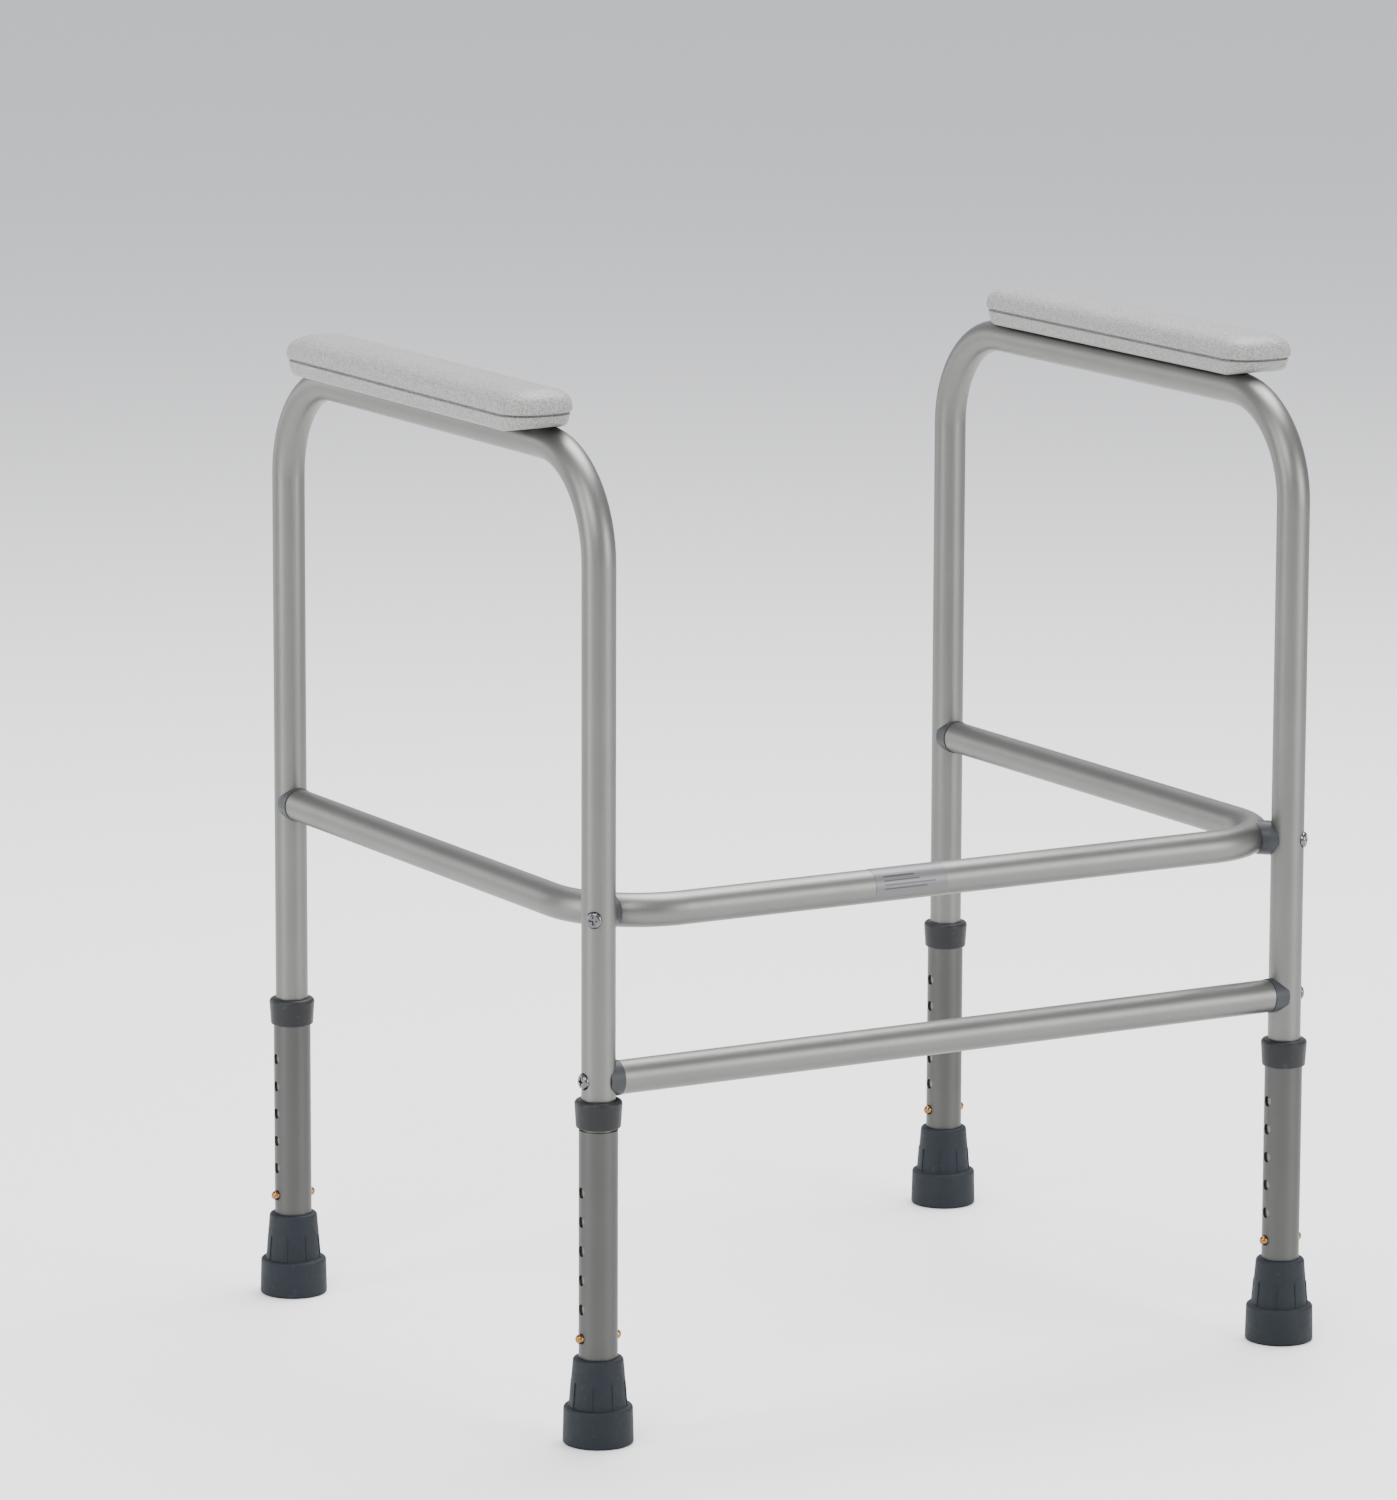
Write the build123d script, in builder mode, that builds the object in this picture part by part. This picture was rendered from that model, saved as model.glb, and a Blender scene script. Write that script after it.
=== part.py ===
from build123d import *
import os
from math import cos, radians, sin, sqrt

# Height-adjustable toilet surround frame, in millimetres.
# The origin is on the floor, midway between the four feet. +Z is up, -Y is the open front where
# the user sits down, and +X is on the right of someone who looks at the front.
# Two arches (post, arm, post) stand left and right. A U-shaped waist bar and a straight lower bar
# join them at the front. Each post stands in a leg tube that slides on it, in steps set by the two
# buttons of a spring clip, and each leg tube stands in a rubber foot.

# Plan and heights
POST_X = 264.0  # half the distance between left and right posts
POST_Y = 218.0  # half the distance between front and rear posts
ARM_Z = 642.6  # axis of the arm tube
WAIST_Z = 345.9  # axis of the waist bar
BAR_Z = 239.5  # axis of the lower front bar
POST_BOTTOM = 46.0
BUTTON_Z = 70.0

# Tubes
TUBE_R = 11.1
TUBE_BORE_R = 9.6
LEG_R = 12.7
LEG_BORE_R = 11.2
LEG_TOP = 207.0
ARCH_BEND = 70.0  # centreline radius where a post turns into the arm
WAIST_BEND = 60.0  # centreline radius of the waist bar's corners

# Height adjustment
HOLE_PITCH = 19.3
HOLE_PAIRS = 6
BUTTON_R = 3.25
BUTTON_PROUD = 3.8  # beyond the leg tube
BUTTON_HOLE_R = 3.55
STRIP_T = 0.6
STRIP_WIDTH = 6.0
STRIP_X = 8.2  # middle of the strip, from the post's axis
STRIP_TOP = 112.0

# Feet
FOOT_R = 23.1
FOOT_TOP = 57.0
FLANGE_TOP = 25.0
SOLE_T = 12.0
WASHER_T = 2.0
RIBS = 8
RIB_TURN = 3.0  # degrees from +X to the first rib
RIB_WIDTH = 1.2
RIB_RISE = 16.0  # height of the ribs above the flange
RIB_PROUD = 0.5  # beyond the sleeve

# Leg collars
COLLAR_HEIGHT = 18.5
COLLAR_LIP = 2.0  # thickness of the lip that rests on the leg tube's end
COLLAR_FIT = 0.1
COLLAR_TOP_R = 15.7  # before its shoulder is rounded, which leaves it 31 across
COLLAR_BOTTOM_R = 14.5
RAISED = {"front_left": 18.0}  # how far a collar is pushed up its post

# Joints between bars and posts
SADDLE_R = 11.6
SADDLE_LIP = 3.5  # from the post's axis to the saddle's tips
SADDLE_TIP_R = 10.6  # radius of a corner saddle at its tips
SADDLE_FLARE = 6.5  # length over which a corner saddle widens from its tips
CORNER_REACH = 20.25  # from a front post's axis to the far end of its corner saddle
END_GAP = 14.0  # from the post's axis to the end of the bar
PLUG_LENGTH = 22.0
INSERT_R = 4.0
INSERT_LENGTH = 10.0
SKIN = 0.05  # gap between fixed pieces that touch

# Screws
SHANK_R = 2.45
THREAD_HOLE_R = 2.5
SCREW_HOLE_R = 2.75
HEAD_R = 5.4
HEAD_H = 2.9
SEAT_DEPTH = 0.9  # how deep the flat under a screw head is cut
RECESS_SPAN = 5.6
RECESS_SLOT = 1.3
RECESS_DEPTH = 1.7
CORNER_SCREW_LENGTH = 31.0
END_SCREW_LENGTH = 42.0

# Armrest pads
PAD_WIDTH = 52.0
PAD_LENGTH = 332.0
PAD_SHIFT = 11.0  # how far the pad's middle is outside the arm tube's axis
PAD_Y = -5.0
PAD_CORNER = 20.0
PAD_CROWN = 11.0
PAD_BELOW = 2.0  # how far the pad comes down each side of the arm tube's top
PAD_HEIGHT = 27.0
PAD_NOSE = 21.0  # length of the sloping underside at the front
PAD_NOSE_RISE = 4.0
PLATE_WIDTH = 32.0
PLATE_LENGTH = 270.0
PLATE_T = 7.0
PLATE_SHIFT = 6.5
PAD_SCREW_SPAN = 200.0
PAD_SCREW_R = 1.9
PAD_SCREW_HEAD_R = 3.9
PAD_SCREW_HEAD_H = 2.4
ACCESS_HOLE_R = 5.0

# Information label on the waist bar
LABEL_LEFT = -64.0
LABEL_LENGTH = 54.0
LABEL_T = 0.15
LABEL_START = 80.0  # degrees from +Y over the top of the bar
LABEL_SWEEP = 128.0

SIDES = {"left": -1, "right": 1}
ENDS = {"front": -1, "rear": 1}
CORNERS = {f"{end}_{side}": (SIDES[side], ENDS[end]) for end in ENDS for side in SIDES}

os.makedirs("parts", exist_ok=True)


def save(builder, name):
    """Label a finished piece and write it."""
    builder.part.label = name
    export_step(builder.part, f"parts/{name}.step")


def upright(x, y, turn=0.0):
    """Upright plane through (x, y): local x is level, `turn` degrees from +X, and local y is up."""
    angle = radians(turn)
    level = (cos(angle), sin(angle), 0)
    return Plane(origin=(x, y, 0), x_dir=level, z_dir=(sin(angle), -cos(angle), 0))


def square_to(point, direction):
    """Plane through a point, at right angles to a direction."""
    return Plane(origin=point, z_dir=direction)


def drill(point, direction, radius, length):
    """Cut a round hole in the piece being built, from a point and in a direction."""
    with BuildSketch(square_to(point, direction)) as hole:
        Circle(radius)
    extrude(hole.sketch, amount=length, mode=Mode.SUBTRACT)


def round_off(section, corner, radius):
    """Round the corner of a sketch that lies nearest to a point."""
    fillet(section.vertices().sort_by_distance(corner)[0], radius)


def joint_at(kind, side):
    """A bar joint's point on its post's axis, and the direction from there into the bar."""
    s = SIDES[side]
    if kind == "corner":
        return Vector(s * POST_X, -POST_Y, WAIST_Z), Vector(-s, 1, 0).normalized()
    if kind == "rear":
        return Vector(s * POST_X, POST_Y, WAIST_Z), Vector(0, -1, 0)
    return Vector(s * POST_X, -POST_Y, BAR_Z), Vector(-s, 0, 0)


def screw_holes(kind, side):
    """Drill a post right through for a joint's screw, with a flat for its head outside."""
    axis_point, inward = joint_at(kind, side)
    drill(axis_point - inward * 2 * TUBE_R, inward, SCREW_HOLE_R, 4 * TUBE_R)
    drill(axis_point - inward * (TUBE_R - SEAT_DEPTH), -inward, HEAD_R + 0.3, TUBE_R)


def bent_tube(points, bend):
    """Sweep the upper tube's section along a path in the piece being built."""
    with BuildLine() as path:
        FilletPolyline(*points, radius=bend)
    with BuildSketch(Plane(origin=path.line @ 0, z_dir=path.line % 0)) as section:
        Circle(TUBE_R)
        Circle(TUBE_BORE_R, mode=Mode.SUBTRACT)
    sweep(section.sketch, path=path.line)


def make_side_tube(side):
    """An arch: front post, arm and rear post in one bent tube."""
    x = SIDES[side] * POST_X
    corners = (
        (x, -POST_Y, POST_BOTTOM),
        (x, -POST_Y, ARM_Z),
        (x, POST_Y, ARM_Z),
        (x, POST_Y, POST_BOTTOM),
    )
    with BuildPart() as side_tube:
        bent_tube(corners, ARCH_BEND)
        for y in (-POST_Y, POST_Y):
            drill((x - 2 * TUBE_R, y, BUTTON_Z), (1, 0, 0), BUTTON_HOLE_R, 4 * TUBE_R)
        for kind in ("corner", "bar", "rear"):
            screw_holes(kind, side)
        for y in (PAD_Y - PAD_SCREW_SPAN / 2, PAD_Y + PAD_SCREW_SPAN / 2):
            drill((x, y, ARM_Z), (0, 0, 1), PAD_SCREW_R + 0.3, 2 * TUBE_R)
            drill((x, y, ARM_Z), (0, 0, -1), ACCESS_HOLE_R, 2 * TUBE_R)
    save(side_tube, f"side_tube_{side}")


def make_waist_bar():
    """The U-shaped bar: its ends meet the rear posts and its corners lie inside the front ones."""
    rear_end = POST_Y - END_GAP
    corners = (
        (-POST_X, rear_end, WAIST_Z),
        (-POST_X, -POST_Y, WAIST_Z),
        (POST_X, -POST_Y, WAIST_Z),
        (POST_X, rear_end, WAIST_Z),
    )
    with BuildPart() as waist_bar:
        bent_tube(corners, WAIST_BEND)
        for side in SIDES:
            post, inward = joint_at("corner", side)
            drill(post + inward * TUBE_R, inward, INSERT_R + SKIN, TUBE_R)
    save(waist_bar, "waist_bar")


def make_lower_bar():
    half = POST_X - END_GAP
    with BuildPart() as lower_bar:
        with BuildSketch(square_to((-half, -POST_Y, BAR_Z), (1, 0, 0))):
            Circle(TUBE_R)
            Circle(TUBE_BORE_R, mode=Mode.SUBTRACT)
        extrude(amount=2 * half)
    save(lower_bar, "lower_bar")


def cut_post(post):
    """Cut the hollow that a post fits out of the saddle being built."""
    with BuildSketch(Plane.XY.offset(post.Z - 2 * SADDLE_R)) as hollow:
        with Locations((post.X, post.Y)):
            Circle(TUBE_R + SKIN)
    extrude(hollow.sketch, amount=4 * SADDLE_R, mode=Mode.SUBTRACT)


def corner_gap():
    """Distance from a front post's axis to the waist bar's centreline, along the diagonal."""
    return WAIST_BEND * (sqrt(2) - 1)


def make_corner_saddle(side):
    """Round block, hollowed to fit the post on one side and the waist bar's bend on the other."""
    post, inward = joint_at("corner", side)
    flare_middle = SADDLE_LIP + SADDLE_FLARE / 2
    flare_end = SADDLE_LIP + SADDLE_FLARE
    bend_centre = post + inward * WAIST_BEND * sqrt(2)
    with BuildPart() as saddle:
        with Locations(square_to(post + inward * flare_middle, inward)):
            Cone(SADDLE_TIP_R, SADDLE_R, SADDLE_FLARE)
        with BuildSketch(square_to(post + inward * flare_end, inward)):
            Circle(SADDLE_R)
        extrude(amount=CORNER_REACH - flare_end)
        drill(post, inward, SCREW_HOLE_R, CORNER_REACH)
        cut_post(post)
        with Locations(bend_centre):
            Torus(WAIST_BEND, TUBE_R + SKIN, mode=Mode.SUBTRACT)
    save(saddle, f"corner_saddle_{side}")


def make_end_saddle(kind, side):
    """Saddle moulded with a plug that fills the end of the bar and holds a threaded insert."""
    post, inward = joint_at(kind, side)
    bar_end = post + inward * END_GAP
    with BuildPart() as saddle:
        with BuildSketch(square_to(post + inward * SADDLE_LIP, inward)):
            Circle(SADDLE_R)
        extrude(amount=END_GAP - SADDLE_LIP - SKIN)
        with BuildSketch(square_to(bar_end - inward * SKIN, inward)):
            Circle(TUBE_BORE_R - SKIN)
        extrude(amount=PLUG_LENGTH)
        cut_post(post)
        drill(post, inward, SCREW_HOLE_R, END_GAP + PLUG_LENGTH)
        drill(bar_end + inward * (PLUG_LENGTH - INSERT_LENGTH), inward, INSERT_R, PLUG_LENGTH)
    save(saddle, f"{kind}_saddle_{side}")


def make_threaded_insert(kind, side):
    """Steel insert that a joint's screw is tightened into."""
    post, inward = joint_at(kind, side)
    if kind == "corner":
        start = corner_gap() - sqrt(TUBE_R**2 - INSERT_R**2) + SKIN
        length = INSERT_LENGTH
    else:
        start = END_GAP + PLUG_LENGTH - INSERT_LENGTH
        length = INSERT_LENGTH - 2 * SKIN
    with BuildPart() as insert:
        with BuildSketch(square_to(post + inward * start, inward)):
            Circle(INSERT_R - SKIN)
            Circle(THREAD_HOLE_R, mode=Mode.SUBTRACT)
        extrude(amount=length)
    save(insert, f"{kind}_insert_{side}")


def make_joint_screw(kind, side):
    """Pan-head screw with a cross recess, its head outside the post."""
    post, inward = joint_at(kind, side)
    seat = post - inward * (TUBE_R - SEAT_DEPTH)
    length = CORNER_SCREW_LENGTH if kind == "corner" else END_SCREW_LENGTH
    with BuildPart() as screw:
        with BuildSketch(square_to(seat, -inward)):
            Circle(HEAD_R)
        extrude(amount=HEAD_H)
        fillet(screw.faces().filter_by(GeomType.PLANE).sort_by_distance(post)[-1].edges(), 2.2)
        with BuildSketch(square_to(seat - inward * HEAD_H, inward)):
            Rectangle(RECESS_SPAN, RECESS_SLOT)
            Rectangle(RECESS_SLOT, RECESS_SPAN)
            Circle(RECESS_SLOT)
        extrude(amount=RECESS_DEPTH, mode=Mode.SUBTRACT)
        with BuildSketch(square_to(seat, inward)):
            Circle(SHANK_R)
        extrude(amount=length)
    save(screw, f"{kind}_screw_{side}")


def make_leg_tube(corner):
    """Leg tube: it slides on the post, and a pair of its holes takes the two buttons."""
    x, y = CORNERS[corner][0] * POST_X, CORNERS[corner][1] * POST_Y
    bottom = SOLE_T + WASHER_T
    with BuildPart() as leg:
        with BuildSketch(Plane.XY.offset(bottom)):
            with Locations((x, y)):
                Circle(LEG_R)
                Circle(LEG_BORE_R, mode=Mode.SUBTRACT)
        extrude(amount=LEG_TOP - bottom)
        for step in range(HOLE_PAIRS):
            height = BUTTON_Z + step * HOLE_PITCH
            drill((x - 2 * LEG_R, y, height), (1, 0, 0), BUTTON_HOLE_R, 4 * LEG_R)
    save(leg, f"leg_tube_{corner}")


def make_foot(corner):
    """Rubber foot: a wide flange with a ribbed, tapering sleeve above it."""
    x, y = CORNERS[corner][0] * POST_X, CORNERS[corner][1] * POST_Y
    bore = LEG_R + SKIN
    sleeve_base = 19.0
    sleeve_top = 16.3
    rib_top = FLANGE_TOP + RIB_RISE
    taper = (sleeve_base - sleeve_top) / (FOOT_TOP - FLANGE_TOP)
    rib_top_r = sleeve_base - RIB_RISE * taper + RIB_PROUD
    with BuildPart() as foot:
        with BuildSketch(upright(x, y)) as section:
            with BuildLine():
                Polyline(
                    (0, 0),
                    (FOOT_R, 0),
                    (FOOT_R - 0.6, FLANGE_TOP),
                    (sleeve_base, FLANGE_TOP),
                    (sleeve_top, FOOT_TOP),
                    (bore, FOOT_TOP),
                    (bore, SOLE_T),
                    (0, SOLE_T),
                    close=True,
                )
            make_face()
            round_off(section, (FOOT_R, 0), 1.8)
            round_off(section, (FOOT_R - 0.6, FLANGE_TOP), 2.0)
            round_off(section, (sleeve_base, FLANGE_TOP), 1.0)
            round_off(section, (sleeve_top, FOOT_TOP), 2.4)
        revolve(axis=Axis((x, y, 0), (0, 0, 1)))
        for rib in range(RIBS):
            with BuildSketch(upright(x, y, RIB_TURN + rib * 360 / RIBS)):
                with BuildLine():
                    Polyline(
                        (sleeve_top - 1, FLANGE_TOP - 1),
                        (sleeve_base + RIB_PROUD, FLANGE_TOP - 1),
                        (rib_top_r, rib_top),
                        (rib_top_r - 1, rib_top + 2),
                        (sleeve_top - 1, rib_top + 2),
                        close=True,
                    )
                make_face()
            extrude(amount=RIB_WIDTH / 2, both=True)
        with BuildSketch(Plane.XY):
            with Locations((x, y)):
                for ring in (10.5, 16.5):
                    Circle(ring + 1)
                    Circle(ring - 1, mode=Mode.SUBTRACT)
        extrude(amount=1.2, mode=Mode.SUBTRACT)
    save(foot, f"foot_{corner}")


def make_foot_washer(corner):
    """Steel washer that keeps the leg tube's end from cutting through the rubber sole."""
    x, y = CORNERS[corner][0] * POST_X, CORNERS[corner][1] * POST_Y
    with BuildPart() as washer:
        with BuildSketch(Plane.XY.offset(SOLE_T)):
            with Locations((x, y)):
                Circle(LEG_R - 0.2)
                Circle(4.0, mode=Mode.SUBTRACT)
        extrude(amount=WASHER_T)
    save(washer, f"foot_washer_{corner}")


def make_collar(corner):
    """Plastic collar that caps the leg tube and steadies it on the post."""
    x, y = CORNERS[corner][0] * POST_X, CORNERS[corner][1] * POST_Y
    top = LEG_TOP + SKIN + COLLAR_LIP + RAISED.get(corner, 0.0)
    bottom = top - COLLAR_HEIGHT
    with BuildPart() as collar:
        with BuildSketch(upright(x, y)) as section:
            with BuildLine():
                Polyline(
                    (LEG_R + COLLAR_FIT, bottom),
                    (COLLAR_BOTTOM_R, bottom),
                    (COLLAR_TOP_R, top),
                    (TUBE_R + COLLAR_FIT, top),
                    (TUBE_R + COLLAR_FIT, top - COLLAR_LIP),
                    (LEG_R + COLLAR_FIT, top - COLLAR_LIP),
                    close=True,
                )
            make_face()
            round_off(section, (COLLAR_TOP_R, top), 2.8)
            round_off(section, (COLLAR_BOTTOM_R, bottom), 1.1)
        revolve(axis=Axis((x, y, 0), (0, 0, 1)))
    save(collar, f"leg_collar_{corner}")


def make_snap_clip(corner):
    """Bent spring strip inside the post with a domed brass button riveted to each end."""
    x, y = CORNERS[corner][0] * POST_X, CORNERS[corner][1] * POST_Y
    back = STRIP_X + STRIP_T / 2 + SKIN
    dome = LEG_R + BUTTON_PROUD - BUTTON_R
    with BuildPart() as clip:
        with BuildSketch(upright(x, y)):
            with BuildLine():
                FilletPolyline(
                    (-STRIP_X, BUTTON_Z - 7),
                    (-STRIP_X, BUTTON_Z + 9),
                    (-3.0, STRIP_TOP),
                    (3.0, STRIP_TOP),
                    (STRIP_X, BUTTON_Z + 9),
                    (STRIP_X, BUTTON_Z - 7),
                    radius=2.4,
                )
            trace(line_width=STRIP_T)
        extrude(amount=STRIP_WIDTH / 2, both=True)
        for turn in (0, 180):
            with BuildSketch(upright(x, y, turn)):
                with BuildLine():
                    Polyline(
                        (dome + BUTTON_R, BUTTON_Z),
                        (back, BUTTON_Z),
                        (back, BUTTON_Z + BUTTON_R),
                        (dome, BUTTON_Z + BUTTON_R),
                    )
                    CenterArc((dome, BUTTON_Z), BUTTON_R, 0, 90)
                make_face()
            revolve(axis=Axis((x, y, BUTTON_Z), (1, 0, 0)))
    save(clip, f"snap_clip_{corner}")


def cut_arm(side):
    """Cut the hollow that the arm tube fits out of the underside of the piece being built."""
    x = SIDES[side] * POST_X
    with BuildSketch(square_to((x, -PAD_LENGTH, ARM_Z), (0, 1, 0))) as hollow:
        Circle(TUBE_R + SKIN)
    extrude(hollow.sketch, amount=2 * PAD_LENGTH, mode=Mode.SUBTRACT)


def make_arm_pad(side):
    """Foam pad with rounded ends, a crowned top and a sloping underside at the front."""
    s = SIDES[side]
    base = ARM_Z + TUBE_R - PAD_BELOW
    front = PAD_Y - PAD_LENGTH / 2
    with BuildPart() as pad:
        with BuildSketch(Plane.XY.offset(base)):
            with Locations((s * (POST_X + PAD_SHIFT), PAD_Y)):
                RectangleRounded(PAD_WIDTH, PAD_LENGTH, PAD_CORNER)
        extrude(amount=PAD_HEIGHT)
        fillet(pad.faces().sort_by(Axis.Z)[-1].edges(), PAD_CROWN)
        fillet(pad.faces().sort_by(Axis.Z)[0].edges(), 3.0)
        with BuildSketch(Plane.YZ.offset(s * (POST_X + PAD_SHIFT))):
            with BuildLine():
                Polyline(
                    (front + PAD_NOSE, base),
                    (front - 1, base + PAD_NOSE_RISE),
                    (front - 1, base),
                    close=True,
                )
            make_face()
        extrude(amount=PAD_WIDTH, both=True, mode=Mode.SUBTRACT)
        with BuildSketch(Plane.XY.offset(base)):
            with Locations((s * (POST_X + PLATE_SHIFT), PAD_Y)):
                Rectangle(PLATE_WIDTH, PLATE_LENGTH)
        extrude(amount=PLATE_T, mode=Mode.SUBTRACT)
        cut_arm(side)
    save(pad, f"arm_pad_{side}")


def make_pad_plate(side):
    """Rigid plate moulded into the pad's underside, which the pad's screws hold."""
    s = SIDES[side]
    base = ARM_Z + TUBE_R - PAD_BELOW
    with BuildPart() as plate:
        with BuildSketch(Plane.XY.offset(base)):
            with Locations((s * (POST_X + PLATE_SHIFT), PAD_Y)):
                Rectangle(PLATE_WIDTH - 2 * SKIN, PLATE_LENGTH - 2 * SKIN)
        extrude(amount=PLATE_T - SKIN)
        cut_arm(side)
        for y in (PAD_Y - PAD_SCREW_SPAN / 2, PAD_Y + PAD_SCREW_SPAN / 2):
            drill((s * POST_X, y, base), (0, 0, 1), PAD_SCREW_R + SKIN, PLATE_T - 1)
    save(plate, f"arm_pad_plate_{side}")


def make_pad_screws(side):
    """The two screws that hold a pad, with their heads inside the arm tube."""
    x = SIDES[side] * POST_X
    seat = ARM_Z + sqrt(TUBE_BORE_R**2 - PAD_SCREW_HEAD_R**2) - SKIN
    tip = ARM_Z + TUBE_R - PAD_BELOW + PLATE_T - 1.5
    places = [(x, PAD_Y - PAD_SCREW_SPAN / 2), (x, PAD_Y + PAD_SCREW_SPAN / 2)]
    with BuildPart() as screws:
        with BuildSketch(Plane.XY.offset(seat - PAD_SCREW_HEAD_H)):
            with Locations(places):
                Circle(PAD_SCREW_HEAD_R)
        extrude(amount=PAD_SCREW_HEAD_H)
        with BuildSketch(Plane.XY.offset(seat)):
            with Locations(places):
                Circle(PAD_SCREW_R)
        extrude(amount=tip - seat)
        with BuildSketch(Plane.XY.offset(seat - PAD_SCREW_HEAD_H)):
            with Locations(places):
                Rectangle(4.0, 1.0)
                Rectangle(1.0, 4.0)
        extrude(amount=1.2, mode=Mode.SUBTRACT)
    save(screws, f"arm_pad_screws_{side}")


def make_label():
    """Thin plain label, bent round the waist bar."""
    radius = TUBE_R + SKIN + LABEL_T / 2
    with BuildPart() as label:
        with BuildSketch(Plane.YZ.offset(LABEL_LEFT)):
            with BuildLine():
                CenterArc((-POST_Y, WAIST_Z), radius, LABEL_START, LABEL_SWEEP)
            trace(line_width=LABEL_T)
        extrude(amount=LABEL_LENGTH)
    save(label, "information_label")


make_waist_bar()
make_lower_bar()
make_label()
for side in SIDES:
    make_side_tube(side)
    make_corner_saddle(side)
    for kind in ("rear", "bar"):
        make_end_saddle(kind, side)
    for kind in ("corner", "rear", "bar"):
        make_threaded_insert(kind, side)
        make_joint_screw(kind, side)
    make_arm_pad(side)
    make_pad_plate(side)
    make_pad_screws(side)
for corner in CORNERS:
    make_leg_tube(corner)
    make_foot(corner)
    make_foot_washer(corner)
    make_collar(corner)
    make_snap_clip(corner)
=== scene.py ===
from functools import partial, reduce
from math import cos, pi, radians, sin

import bmesh
import bpy
from mathutils import Matrix, Vector


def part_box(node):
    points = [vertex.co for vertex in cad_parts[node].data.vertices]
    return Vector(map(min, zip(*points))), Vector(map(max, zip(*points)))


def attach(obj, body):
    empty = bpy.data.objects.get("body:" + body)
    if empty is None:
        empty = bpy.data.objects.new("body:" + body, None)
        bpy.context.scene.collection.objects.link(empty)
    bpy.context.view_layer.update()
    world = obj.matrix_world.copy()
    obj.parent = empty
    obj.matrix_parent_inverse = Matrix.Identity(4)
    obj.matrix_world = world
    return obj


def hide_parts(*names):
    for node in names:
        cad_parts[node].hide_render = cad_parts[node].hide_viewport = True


# The looks of a height-adjustable toilet surround frame, in metres. +Z is up, and -Y is the open
# front. Tubes, joints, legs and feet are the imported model's own, with a material for each finish.
# The two arm pads are modelled here.

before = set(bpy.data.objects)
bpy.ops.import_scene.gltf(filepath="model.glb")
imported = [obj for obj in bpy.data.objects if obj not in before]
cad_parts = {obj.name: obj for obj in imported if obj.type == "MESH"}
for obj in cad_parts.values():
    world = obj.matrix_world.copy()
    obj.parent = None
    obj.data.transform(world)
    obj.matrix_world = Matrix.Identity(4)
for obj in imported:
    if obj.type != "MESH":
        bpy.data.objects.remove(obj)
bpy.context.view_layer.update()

SIDES = ("left", "right")
CORNERS = ("front_left", "front_right", "rear_left", "rear_right")

# Camera
CAMERA_POSITION = (-2.5688, -4.3797, 1.3496)
CAMERA_YAW = 29.740  # degrees, from +Y towards +X
CAMERA_PITCH = 10.659  # degrees, downwards
CAMERA_ROLL = 0.194  # degrees
CAMERA_LENS = 183.16  # mm
CAMERA_SENSOR = 36  # mm, on the picture's longer side
CAMERA_REACH = 100  # how far it sees

# Studio. Each light has a position, a width and height, and a power in watts.
WORLD_COLOUR = (0.93, 0.95, 1.0)
WORLD_STRENGTH = 0.88
LIGHT_TARGET = (0, 0, 0.35)  # near the object's middle
LIGHTS = {
    "key": ((-2.6, -2.2, 3.0), (1.6, 2.2), 110),
    "front": ((1.7, -2.9, 1.1), (1.5, 1.6), 75),
    "back": ((-1.9, 3.0, 0.9), (1.6, 1.4), 25),
    "top": ((0.9, 0.6, 3.4), (2.4, 2.4), 260),
    "side": ((-3.0, -0.1, 1.1), (0.7, 2.6), 60),
}
FLOOR_REACH = 40.0  # half the floor's width

# Colours, linear
WHITE = (1, 1, 1)
TUBE_COLOUR = (0.160, 0.160, 0.151)
LEG_COLOUR = (0.082, 0.082, 0.079)
COLLAR_COLOUR = (0.0095, 0.0105, 0.0115)
# Painted light: the collars' slate plastic made paler for the saddles, because the saddles face the
# light
SADDLE_LIT_COLOUR = (0.029, 0.032, 0.035)
RUBBER_COLOUR = (0.0060, 0.0092, 0.0130)
PLATE_COLOUR = (0.012, 0.012, 0.013)
SCUFF_COLOUR = (0.012, 0.013, 0.014)
STEEL_COLOUR = (0.15, 0.15, 0.155)
BRASS_COLOUR = (0.30, 0.155, 0.060)
FOAM_COLOUR = (0.225, 0.229, 0.215)
LABEL_COLOUR = (0.115, 0.115, 0.119)
INK_COLOUR = (0.045, 0.045, 0.050)
FLOOR_COLOUR = (0.88, 0.88, 0.88)

# The part of noise's 0 to 1 range that most of its values lie in
NOISE_LOW = 0.3
NOISE_HIGH = 0.7

# Label: plain bars in rows, from the top
BAR_SHARES = (0.44, 0.50, 0.72, 0.60)  # length of each bar, over the label's
BAR_MARGIN = 0.006
BAR_TOP = 0.0042  # height of the first bar above the label's middle
BAR_PITCH = 0.0026
BAR_HALF_HEIGHT = 0.0005

# Arm pads
PAD_RUN_POINTS = 24  # on each corner and each side of a ring
PAD_CORNER = 0.020  # radius of the corners in plan
PAD_ROUNDEST = 0.98  # corner radius over half width, in the middle of the pad
PAD_THINNEST = 0.0008  # half width of the innermost ring
PAD_MIDDLE_INSETS = (0.92, 0.75, 0.55, 0.42, 0.32)  # rings of the flat underside, over half width
PAD_ROUNDING = 0.0036  # radius of the lower edge
PAD_ROUNDING_STEPS = 6
PAD_TAPER = 0.0012  # how far the lower part draws in towards its lower edge
PAD_TAPER_STEPS = 3
PAD_LIP = 0.0012  # how far the upper part stands out past the lower one
PAD_LIP_EDGE = 0.0003  # how far the upper part draws in at the seam
PAD_SEAM_RISE = 0.0108  # height of the seam above the pad's lowest point
PAD_SEAM_DEPTH = 0.0019
PAD_SEAM_HALF = 0.0011
PAD_SEAM_SECTION = ((0.8, -0.5), (1.0, 0.0), (0.5, 0.6))  # shares of the depth and half height
PAD_CROWN_POWER = 2.8
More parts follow.
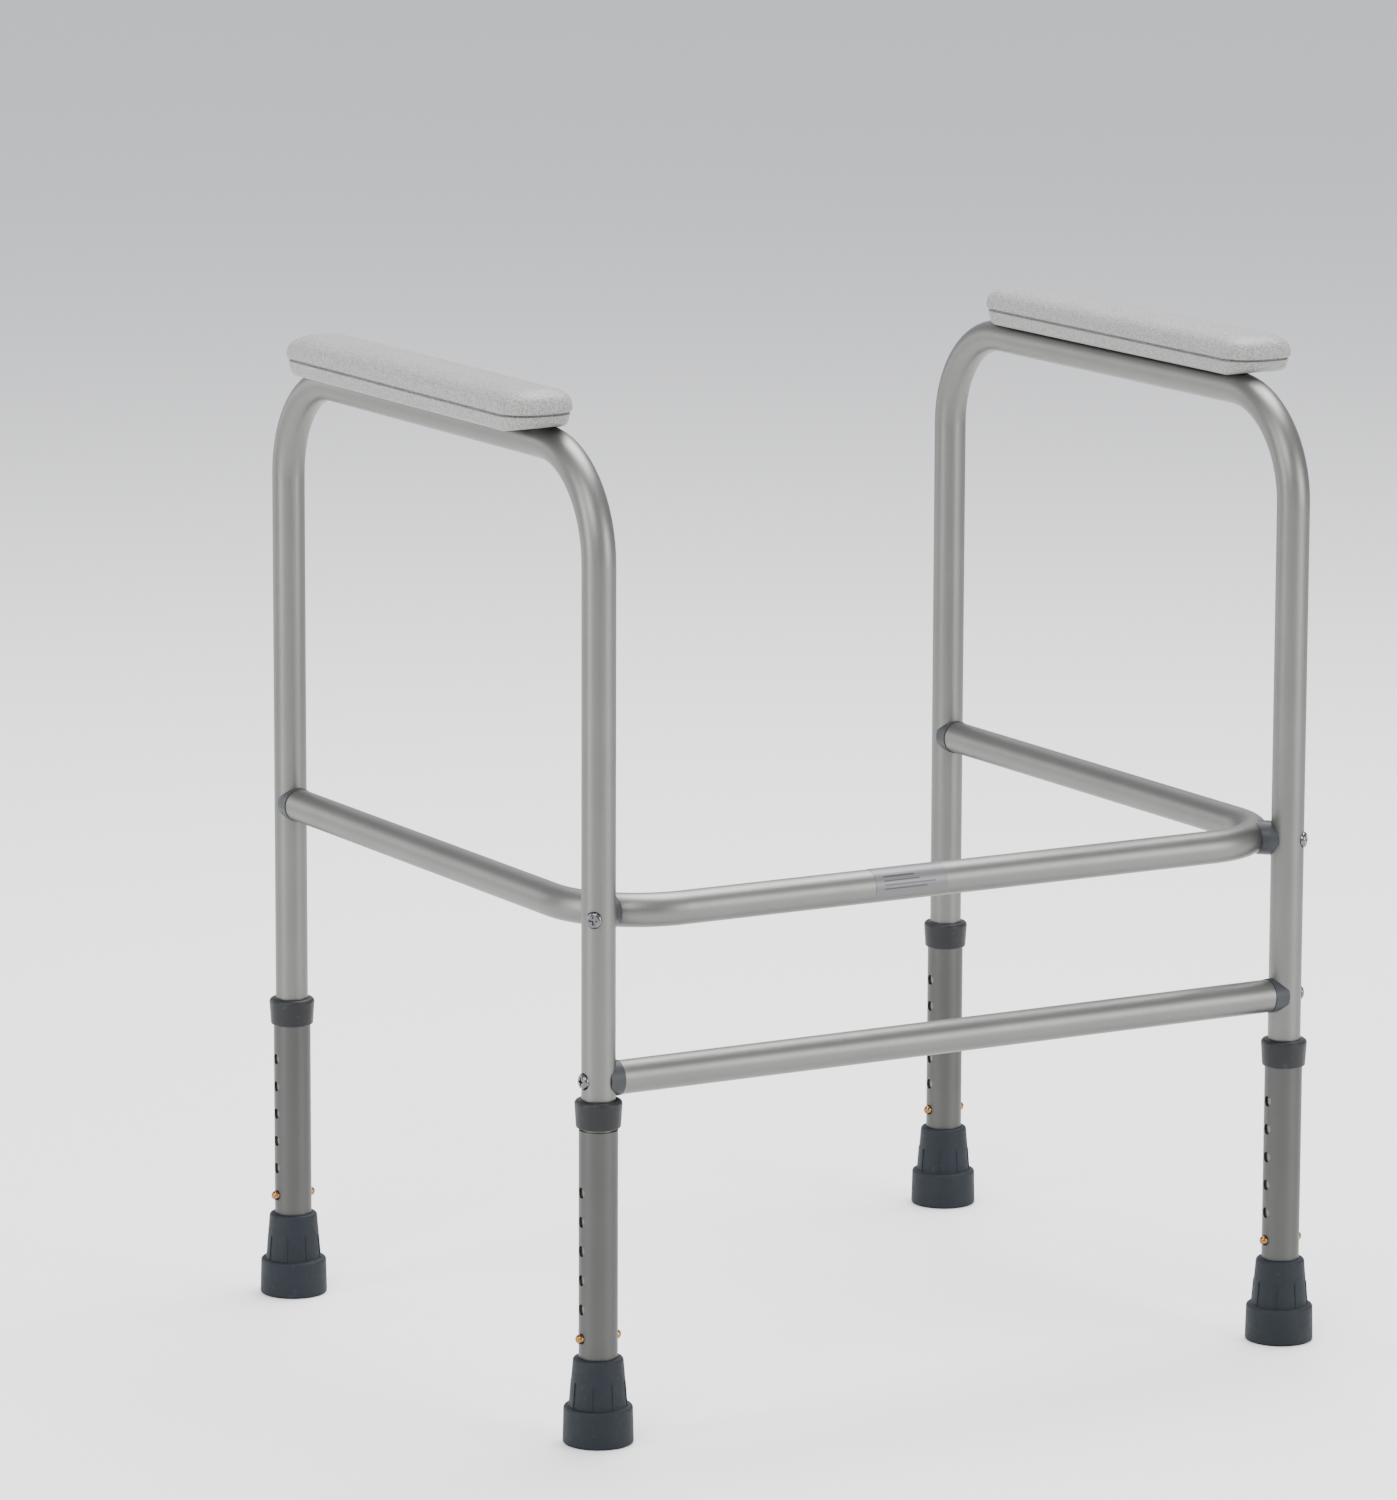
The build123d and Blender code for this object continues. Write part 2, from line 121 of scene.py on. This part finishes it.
PAD_CROWN_STEPS = 24
PAD_NOSE = 0.021  # length of the sloping underside at the front
PAD_NOSE_RISE = 0.0040
PAD_TAIL = 0.016  # length of the curved underside at the rear
PAD_TAIL_RISE = 0.0040
PAD_SHARP_ANGLE = 50  # degrees
CUT_GAP = 0.00005  # between the foam and what it is cut out for
CUT_DROP = 0.002  # how far the plate's pocket is cut past its underside
CUT_SEGMENTS = 96


# Node helpers


def new_material(name, colour, roughness, metallic=0.0, specular=0.5):
    """A Principled material with its node tree, ready for colour variation and bump."""
    material = bpy.data.materials.new(name)
    material.use_nodes = True
    shader = material.node_tree.nodes["Principled BSDF"]
    shader.inputs["Base Color"].default_value = (*colour, 1)
    shader.inputs["Roughness"].default_value = roughness
    shader.inputs["Metallic"].default_value = metallic
    shader.inputs["Specular IOR Level"].default_value = specular
    return material


def connect(material, output, name):
    """Links an output to one of the shader's sockets."""
    shader = material.node_tree.nodes["Principled BSDF"]
    material.node_tree.links.new(output, shader.inputs[name])


def feed(material, value, socket):
    """Gives a socket its value, which is another node's output, a number or a colour."""
    if isinstance(value, bpy.types.NodeSocket):
        material.node_tree.links.new(value, socket)
    else:
        socket.default_value = value


def add_noise(material, scale, detail, stretch=(1, 1, 1)):
    """Noise in the object's own coordinates. Returns its 0 to 1 output."""
    tree = material.node_tree
    where = tree.nodes.new("ShaderNodeTexCoord")
    mapping = tree.nodes.new("ShaderNodeMapping")
    mapping.inputs["Scale"].default_value = stretch
    texture = tree.nodes.new("ShaderNodeTexNoise")
    texture.inputs["Scale"].default_value = scale
    texture.inputs["Detail"].default_value = detail
    tree.links.new(where.outputs["Object"], mapping.inputs["Vector"])
    tree.links.new(mapping.outputs["Vector"], texture.inputs["Vector"])
    return texture.outputs["Fac"]


def add_ramp(material, value, stops):
    """A colour ramp over a 0 to 1 value, from two or more (position, colour) stops."""
    ramp = material.node_tree.nodes.new("ShaderNodeValToRGB")
    elements = ramp.color_ramp.elements
    for element, (position, colour) in zip(elements, stops[:2]):
        element.position = position
        element.color = (*colour, 1)
    for position, colour in stops[2:]:
        elements.new(position).color = (*colour, 1)
    material.node_tree.links.new(value, ramp.inputs["Fac"])
    return ramp.outputs["Color"]


def add_mix(material, share, first, second, blend="MIX"):
    """Mix of two colours by a share from 0 to 1."""
    mix = material.node_tree.nodes.new("ShaderNodeMix")
    mix.data_type = "RGBA"
    mix.blend_type = blend
    feed(material, share, mix.inputs["Factor"])
    feed(material, first, mix.inputs["A"])
    feed(material, second, mix.inputs["B"])
    return mix.outputs["Result"]


def add_math(material, operation, first, second):
    """A math node on two values."""
    node = material.node_tree.nodes.new("ShaderNodeMath")
    node.operation = operation
    feed(material, first, node.inputs[0])
    feed(material, second, node.inputs[1])
    return node.outputs["Value"]


def vary_roughness(material, noise, low, high):
    """Roughness that follows noise, from low to high."""
    tree = material.node_tree
    spread = tree.nodes.new("ShaderNodeMapRange")
    spread.inputs["From Min"].default_value = NOISE_LOW
    spread.inputs["From Max"].default_value = NOISE_HIGH
    spread.inputs["To Min"].default_value = low
    spread.inputs["To Max"].default_value = high
    tree.links.new(noise, spread.inputs["Value"])
    connect(material, spread.outputs["Result"], "Roughness")


def add_bump(material, height, strength, distance):
    """Bump from a 0 to 1 height."""
    tree = material.node_tree
    bump = tree.nodes.new("ShaderNodeBump")
    bump.inputs["Strength"].default_value = strength
    bump.inputs["Distance"].default_value = distance
    tree.links.new(height, bump.inputs["Height"])
    connect(material, bump.outputs["Normal"], "Normal")


def shade(colour, factor):
    return tuple(channel * factor for channel in colour)


def tones(colour, dark, pale, start=NOISE_LOW, end=NOISE_HIGH):
    """Two ramp stops: a colour times dark at the start, and times pale at the end."""
    return ((start, shade(colour, dark)), (end, shade(colour, pale)))


# Materials


def aluminium(name, colour, roughness):
    """Satin anodised tube: a soft mottle, and fine marks drawn out along the upright tubes."""
    material = new_material(name, colour, roughness, metallic=1.0)
    mottle = add_noise(material, scale=18, detail=4)
    marks = add_noise(material, scale=1, detail=3, stretch=(900, 900, 22))
    soft = add_ramp(material, mottle, tones(colour, 0.95, 1.04))
    fine = add_ramp(material, marks, tones(WHITE, 0.96, 1.0))
    connect(material, add_mix(material, 1.0, soft, fine, "MULTIPLY"), "Base Color")
    vary_roughness(material, marks, roughness - 0.03, roughness + 0.03)
    add_bump(material, add_noise(material, scale=2600, detail=2), strength=0.10, distance=0.00005)
    return material


def moulded(name, colour, roughness, grain):
    """Moulded plastic or rubber: fine grain, slight cloudiness and paler rubbed patches."""
    material = new_material(name, colour, roughness, specular=0.25)
    clouds = add_noise(material, scale=45, detail=5)
    rubbed = add_noise(material, scale=210, detail=6)
    base = add_ramp(material, clouds, tones(colour, 0.90, 1.10, start=0.32, end=0.68))
    scuff = add_ramp(material, rubbed, tones(SCUFF_COLOUR, 0.0, 1.0, start=0.60, end=0.78))
    connect(material, add_mix(material, 1.0, base, scuff, "ADD"), "Base Color")
    vary_roughness(material, rubbed, roughness - 0.06, roughness + 0.06)
    add_bump(material, add_noise(material, scale=2200, detail=3), strength=grain, distance=0.00012)
    return material


def bright_metal(name, colour, roughness):
    """Plated or turned metal with faint tarnish, which is darker and rougher."""
    material = new_material(name, colour, roughness, metallic=1.0)
    tarnish = add_noise(material, scale=420, detail=5)
    tarnished = add_ramp(material, tarnish, tones(colour, 0.72, 1.0, start=0.35, end=0.65))
    connect(material, tarnished, "Base Color")
    vary_roughness(material, tarnish, roughness + 0.10, roughness - 0.02)
    return material


def speckled_foam():
    """Integral-skin foam: light grey, with fine darker and paler specks and a leathery skin."""
    material = new_material("pad_foam", FOAM_COLOUR, roughness=0.50, specular=0.35)
    specks = add_noise(material, scale=850, detail=4)
    drift = add_noise(material, scale=60, detail=3)
    dark_and_pale = tones(FOAM_COLOUR, 0.66, 1.22, start=0.38, end=0.62)
    fine = add_ramp(material, specks, (*dark_and_pale, (0.50, FOAM_COLOUR)))
    cloud = add_ramp(material, drift, ((NOISE_LOW, (0.94, 0.95, 0.96)), (NOISE_HIGH, WHITE)))
    connect(material, add_mix(material, 1.0, fine, cloud, "MULTIPLY"), "Base Color")
    vary_roughness(material, drift, 0.46, 0.54)
    add_bump(material, add_noise(material, scale=950, detail=4), strength=0.13, distance=0.00018)
    return material


def add_bar(material, axes, left, right, height):
    """1 inside a bar that lies along X and 0 outside it."""
    x = axes.outputs["X"]
    z = axes.outputs["Z"]
    limits = (
        add_math(material, "GREATER_THAN", z, height - BAR_HALF_HEIGHT),
        add_math(material, "LESS_THAN", z, height + BAR_HALF_HEIGHT),
        add_math(material, "GREATER_THAN", x, left),
        add_math(material, "LESS_THAN", x, right),
    )
    return reduce(partial(add_math, material, "MULTIPLY"), limits)


def label_film():
    """Silver-white film with plain grey bars where the printing would be."""
    material = new_material("label_film", LABEL_COLOUR, roughness=0.38, metallic=0.35)
    tree = material.node_tree
    where = tree.nodes.new("ShaderNodeTexCoord")
    axes = tree.nodes.new("ShaderNodeSeparateXYZ")
    tree.links.new(where.outputs["Object"], axes.inputs["Vector"])
    low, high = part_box("information_label")
    left = low.x + BAR_MARGIN
    top = (low.z + high.z) / 2 + BAR_TOP
    bars = []
    for row, share in enumerate(BAR_SHARES):
        right = left + share * (high.x - low.x)
        bars.append(add_bar(material, axes, left, right, top - row * BAR_PITCH))
    printed = reduce(partial(add_math, material, "MAXIMUM"), bars)
    clouds = add_noise(material, scale=500, detail=3)
    film = add_ramp(material, clouds, tones(LABEL_COLOUR, 0.96, 1.0))
    connect(material, add_mix(material, printed, film, (*INK_COLOUR, 1)), "Base Color")
    return material


def set_material(piece, material):
    piece.data.materials.clear()
    piece.data.materials.append(material)


def paint(node, material):
    set_material(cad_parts[node], material)


def paint_frame():
    tube = aluminium("satin_aluminium", TUBE_COLOUR, roughness=0.44)
    leg = aluminium("satin_aluminium_leg", LEG_COLOUR, roughness=0.46)
    collar = moulded("slate_plastic", COLLAR_COLOUR, roughness=0.46, grain=0.16)
    # Painted light: a paler copy of the collars' slate plastic, standing in for the light falling
    # on the saddles
    saddle = moulded("slate_plastic_lit_saddle", SADDLE_LIT_COLOUR, roughness=0.46, grain=0.16)
    rubber = moulded("slate_rubber", RUBBER_COLOUR, roughness=0.62, grain=0.26)
    plate = moulded("black_plastic", PLATE_COLOUR, roughness=0.50, grain=0.20)
    steel = bright_metal("plated_steel", STEEL_COLOUR, roughness=0.15)
    brass = bright_metal("button_brass", BRASS_COLOUR, roughness=0.22)
    for node in ("waist_bar", "lower_bar"):
        paint(node, tube)
    paint("information_label", label_film())
    for side in SIDES:
        paint(f"side_tube_{side}", tube)
        for joint in ("corner", "rear", "bar"):
            paint(f"{joint}_saddle_{side}", saddle)
            paint(f"{joint}_insert_{side}", steel)
            paint(f"{joint}_screw_{side}", steel)
        paint(f"arm_pad_plate_{side}", plate)
        paint(f"arm_pad_screws_{side}", steel)
    for corner in CORNERS:
        paint(f"leg_tube_{corner}", leg)
        paint(f"foot_{corner}", rubber)
        paint(f"foot_washer_{corner}", steel)
        paint(f"leg_collar_{corner}", collar)
        paint(f"snap_clip_{corner}", brass)


# Arm pads


def new_object(name, shape):
    """Turns a finished bmesh into an object in the scene."""
    mesh = bpy.data.meshes.new(name)
    shape.to_mesh(mesh)
    shape.free()
    thing = bpy.data.objects.new(name, mesh)
    bpy.context.scene.collection.objects.link(thing)
    return thing


def pad_outline(half_width, half_length, corner):
    """Points round a rectangle with rounded corners, the same number on each corner and side."""
    centres = []
    for sign_x, sign_y in ((1, 1), (-1, 1), (-1, -1), (1, -1)):
        centres.append(Vector((sign_x * (half_width - corner), sign_y * (half_length - corner))))
    points = []
    for turn, centre in enumerate(centres):
        for step in range(PAD_RUN_POINTS):
            angle = (turn + step / (PAD_RUN_POINTS - 1)) * pi / 2
            points.append(centre + corner * Vector((cos(angle), sin(angle))))
        start = points[-1]
        angle = (turn + 1) * pi / 2
        end = centres[(turn + 1) % 4] + corner * Vector((cos(angle), sin(angle)))
        for step in range(1, PAD_RUN_POINTS + 1):
            points.append(start.lerp(end, step / (PAD_RUN_POINTS + 1)))
    return points


def pad_profile(height, half_width):
    """(inset, height) pairs from the middle of the underside, over the edge, to the crown."""
    seam = PAD_SEAM_RISE
    lower_inset = PAD_LIP + PAD_TAPER
    points = [(share * half_width, 0.0) for share in PAD_MIDDLE_INSETS]
    for step in range(PAD_ROUNDING_STEPS + 1):
        angle = step / PAD_ROUNDING_STEPS * pi / 2
        inset = lower_inset + PAD_ROUNDING * (1 - sin(angle))
        points.append((inset, PAD_ROUNDING * (1 - cos(angle))))
    for step in range(1, PAD_TAPER_STEPS + 1):
        share = step / PAD_TAPER_STEPS
        level = PAD_ROUNDING + share * (seam - PAD_SEAM_HALF - PAD_ROUNDING)
        points.append((lower_inset - share * PAD_TAPER, level))
    for depth, rise in PAD_SEAM_SECTION:
        points.append((PAD_LIP + PAD_SEAM_DEPTH * depth, seam + PAD_SEAM_HALF * rise))
    points.append((PAD_LIP_EDGE, seam + PAD_SEAM_HALF))
    crown_foot = seam + 2 * PAD_SEAM_HALF
    for step in range(PAD_CROWN_STEPS + 1):
        angle = step / PAD_CROWN_STEPS * pi / 2
        across = cos(angle) ** (2 / PAD_CROWN_POWER)
        up = sin(angle) ** (2 / PAD_CROWN_POWER)
        points.append((half_width * (1 - across), crown_foot + (height - crown_foot) * up))
    return points


def underside_rise(y, front, rear):
    """How far the underside is raised at a place along the pad."""
    if y < front + PAD_NOSE:
        return PAD_NOSE_RISE * (front + PAD_NOSE - y) / PAD_NOSE
    if y > rear - PAD_TAIL:
        return PAD_TAIL_RISE * ((y - rear + PAD_TAIL) / PAD_TAIL) ** 2
    return 0.0


def pad_skin(low, high):
    """The pad's outside: rings from the underside to the crown, closed at both ends."""
    centre = (low + high) / 2
    half_width = (high.x - low.x) / 2
    half_length = (high.y - low.y) / 2
    seam = low.z + PAD_SEAM_RISE
    least_round = PAD_CORNER / half_width
    skin = bmesh.new()
    rings = []
    for inset, level in pad_profile(high.z - low.z, half_width):
        width = max(half_width - inset, PAD_THINNEST)
        corner = width * (least_round + (PAD_ROUNDEST - least_round) * (inset / half_width))
        ring = []
        for point in pad_outline(width, half_length - inset, corner):
            y = centre.y + point.y
            z = low.z + level
            if level < PAD_SEAM_RISE:
                floor_z = low.z + underside_rise(y, low.y, high.y)
                z = seam - (seam - z) * (seam - floor_z) / PAD_SEAM_RISE
            ring.append(skin.verts.new((centre.x + point.x, y, z)))
        rings.append(ring)
    for first, second in zip(rings, rings[1:]):
        for k, vertex in enumerate(first):
            following = (k + 1) % len(first)
            skin.faces.new((vertex, first[following], second[following], second[k]))
    skin.faces.new(list(reversed(rings[0])))
    skin.faces.new(rings[-1])
    bmesh.ops.recalc_face_normals(skin, faces=skin.faces)
    return skin


def plate_pocket(side):
    """The plate's space, open below."""
    low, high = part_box(f"arm_pad_plate_{side}")
    gap = Vector((CUT_GAP, CUT_GAP, CUT_GAP))
    start = low - gap - Vector((0, 0, CUT_DROP))
    end = high + gap
    block = bmesh.new()
    place = Matrix.LocRotScale((start + end) / 2, None, end - start)
    bmesh.ops.create_cube(block, size=1, matrix=place)
    return new_object("plate_pocket", block)


def tube_channel(side, low, high):
    """The arm tube's space along the whole of a pad. The lower bar is the same tube."""
    tube_low, tube_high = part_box(f"side_tube_{side}")
    bar_low, bar_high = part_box("lower_bar")
    tube_radius = (bar_high.z - bar_low.z) / 2
    middle = ((tube_low.x + tube_high.x) / 2, (low.y + high.y) / 2, tube_high.z - tube_radius)
    radius = tube_radius + CUT_GAP
    rod = bmesh.new()
    bmesh.ops.create_cone(
        rod,
        cap_ends=True,
        segments=CUT_SEGMENTS,
        radius1=radius,
        radius2=radius,
        depth=2 * (high.y - low.y),
        matrix=Matrix.Translation(middle) @ Matrix.Rotation(pi / 2, 4, "X"),
    )
    return new_object("tube_channel", rod)


def cut(piece, tool):
    """Cuts the tool's shape out of the piece and removes the tool."""
    modifier = piece.modifiers.new("cut", "BOOLEAN")
    modifier.operation = "DIFFERENCE"
    modifier.solver = "EXACT"
    modifier.object = tool
    bpy.context.view_layer.objects.active = piece
    bpy.ops.object.modifier_apply(modifier=modifier.name)
    bpy.data.objects.remove(tool)


def make_arm_pad(side, material):
    """A foam pad with its seam, cut out below for the arm tube and the plate."""
    node = f"arm_pad_{side}"
    low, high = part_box(node)
    pad = new_object(f"{node}_skin", pad_skin(low, high))
    cut(pad, plate_pocket(side))
    cut(pad, tube_channel(side, low, high))
    if not pad.data.polygons:
        raise RuntimeError(f"{node}: the cuts left nothing of the pad")
    pad.data.shade_smooth()
    pad.data.set_sharp_from_angle(angle=radians(PAD_SHARP_ANGLE))
    set_material(pad, material)
    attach(pad, "frame")
    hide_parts(node)


# Camera and studio


def make_camera():
    yaw, pitch, roll = (radians(angle) for angle in (CAMERA_YAW, CAMERA_PITCH, CAMERA_ROLL))
    forward = Vector((sin(yaw) * cos(pitch), cos(yaw) * cos(pitch), -sin(pitch)))
    level = Vector((cos(yaw), -sin(yaw), 0))
    upright = level.cross(forward)
    right = level * cos(roll) + upright * sin(roll)
    up = upright * cos(roll) - level * sin(roll)
    data = bpy.data.cameras.new("camera")
    data.lens = CAMERA_LENS
    data.sensor_width = CAMERA_SENSOR
    data.sensor_fit = "AUTO"
    data.clip_end = CAMERA_REACH
    camera = bpy.data.objects.new("camera", data)
    turn = Matrix((right, up, -forward)).transposed()
    camera.matrix_world = Matrix.Translation(CAMERA_POSITION) @ turn.to_4x4()
    bpy.context.scene.collection.objects.link(camera)
    bpy.context.scene.camera = camera


def make_floor():
    ground = bmesh.new()
    bmesh.ops.create_grid(ground, x_segments=8, y_segments=8, size=FLOOR_REACH)
    floor = new_object("floor", ground)
    material = new_material("floor", FLOOR_COLOUR, roughness=0.75)
    drift = add_noise(material, scale=0.6, detail=2)
    connect(material, add_ramp(material, drift, tones(WHITE, 0.875, 0.89)), "Base Color")
    set_material(floor, material)


def make_light(name, position, size, power):
    """A soft rectangular light, aimed at the object's middle and not seen by the camera."""
    data = bpy.data.lights.new(name, "AREA")
    data.shape = "RECTANGLE"
    data.size, data.size_y = size
    data.energy = power
    light = bpy.data.objects.new(name, data)
    light.visible_camera = False
    aim = Vector(LIGHT_TARGET) - Vector(position)
    light.rotation_euler = aim.to_track_quat("-Z", "Y").to_euler()
    light.location = position
    bpy.context.scene.collection.objects.link(light)


def make_studio():
    """An even pale surround and the soft lights."""
    world = bpy.data.worlds.new("studio")
    world.use_nodes = True
    background = world.node_tree.nodes["Background"]
    background.inputs["Color"].default_value = (*WORLD_COLOUR, 1)
    background.inputs["Strength"].default_value = WORLD_STRENGTH
    bpy.context.scene.world = world
    for name, (position, size, power) in LIGHTS.items():
        make_light(name, position, size, power)


paint_frame()
foam = speckled_foam()
for side in SIDES:
    make_arm_pad(side, foam)
make_camera()
make_floor()
make_studio()
